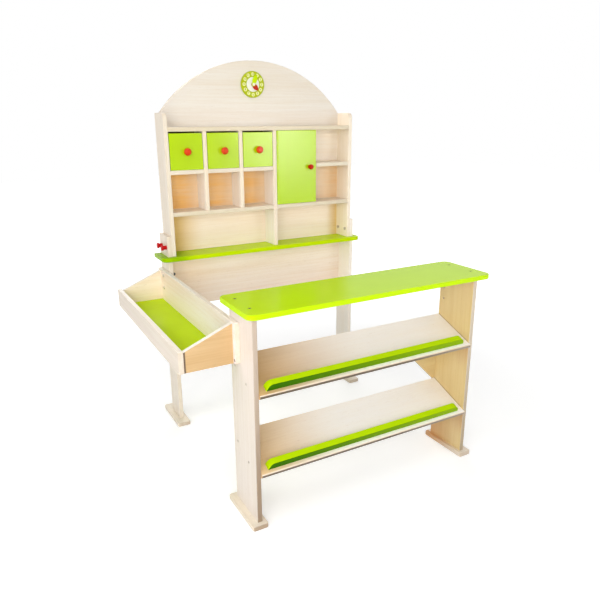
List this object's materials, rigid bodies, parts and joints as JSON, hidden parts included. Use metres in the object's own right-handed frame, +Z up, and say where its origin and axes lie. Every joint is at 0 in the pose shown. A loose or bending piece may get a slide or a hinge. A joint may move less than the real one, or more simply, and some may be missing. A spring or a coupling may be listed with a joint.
{
  "type": "toy market stall",
  "caption": "Wooden toy shop stall: arched shelf unit with drawers, cupboard and clock, joined by a side tray to a counter with sloping display shelves.",
  "frame": {"origin": "middle of the stall's outline on the floor, at floor level", "axes": "+Z up; +Y from the counter towards the shelf unit, so customers stand on the -Y side; +X to the customer's right, away from the tray"},
  "size_m": [0.808, 0.727, 1.0899],
  "materials": {
    "bare_wood": "clear satin lacquer on pale plywood",
    "lime_paint": "glossy lime green paint on plywood",
    "red_paint": "glossy orange-red paint on turned wood",
    "steel": "blackened steel"
  },
  "bodies": {
    "stall": {"left_post": "bare_wood", "right_post": "bare_wood", "back_left_foot": "bare_wood", "back_right_foot": "bare_wood", "apron": "bare_wood", "left_panel": "bare_wood", "right_panel": "bare_wood", "arched_back": "bare_wood", "top_shelf": "bare_wood", "drawer_shelf": "bare_wood", "lower_left_shelf": "bare_wood", "lower_right_shelf": "bare_wood", "small_shelf": "bare_wood", "divider_1": "bare_wood", "divider_2": "bare_wood", "middle_divider": "bare_wood", "cupboard_partition": "bare_wood", "clock_pin": "bare_wood", "left_leg": "bare_wood", "right_leg": "bare_wood", "counter_left_foot": "bare_wood", "counter_right_foot": "bare_wood", "upper_shelf": "bare_wood", "lower_shelf": "bare_wood", "corner_brace": "bare_wood", "tray_tall_panel": "bare_wood", "tray_low_panel": "bare_wood", "tray_back_end": "bare_wood", "tray_front_end": "bare_wood", "back_board": "lime_paint", "clock_dial": "lime_paint", "counter_top": "lime_paint", "upper_lip": "lime_paint", "lower_lip": "lime_paint", "tray_floor": "lime_paint", "door_pins": "steel", "post_bolts": "steel", "tray_bolts": "steel", "barrel_nut": "steel", "top_screws": "steel", "shelf_screws": "steel", "brace_screws": "steel", "red_pegs": "red_paint"},
    "drawer_1": {"drawer_1_front": "lime_paint", "drawer_1_walls": "bare_wood", "drawer_1_bottom": "bare_wood", "drawer_1_knob": "red_paint"},
    "drawer_2": {"drawer_2_front": "lime_paint", "drawer_2_walls": "bare_wood", "drawer_2_bottom": "bare_wood", "drawer_2_knob": "red_paint"},
    "drawer_3": {"drawer_3_front": "lime_paint", "drawer_3_walls": "bare_wood", "drawer_3_bottom": "bare_wood", "drawer_3_knob": "red_paint"},
    "door": {"door_panel": "lime_paint", "door_knob": "red_paint"},
    "hour_hand": {"hour_hand": "red_paint"},
    "minute_hand": {"minute_hand": "lime_paint"}
  },
  "joints": [
    {"name": "drawer_1_slide", "type": "slide", "parent": "stall", "child": "drawer_1", "axis": [0, -1, 0], "range_m": [0, 0.045]},
    {"name": "drawer_2_slide", "type": "slide", "parent": "stall", "child": "drawer_2", "axis": [0, -1, 0], "range_m": [0, 0.045]},
    {"name": "drawer_3_slide", "type": "slide", "parent": "stall", "child": "drawer_3", "axis": [0, -1, 0], "range_m": [0, 0.045]},
    {"name": "door_hinge", "type": "hinge", "parent": "stall", "child": "door", "pos_m": [0.1025, 0.2545, 0.7765], "axis": [0, 0, -1], "range_deg": [0, 90]},
    {"name": "hour_turn", "type": "hinge", "parent": "stall", "child": "hour_hand", "pos_m": [0.051, 0.3075, 1.022], "axis": [0, 1, 0], "continuous": true},
    {"name": "minute_turn", "type": "hinge", "parent": "stall", "child": "minute_hand", "pos_m": [0.051, 0.3075, 1.022], "axis": [0, 1, 0], "continuous": true}
  ]
}
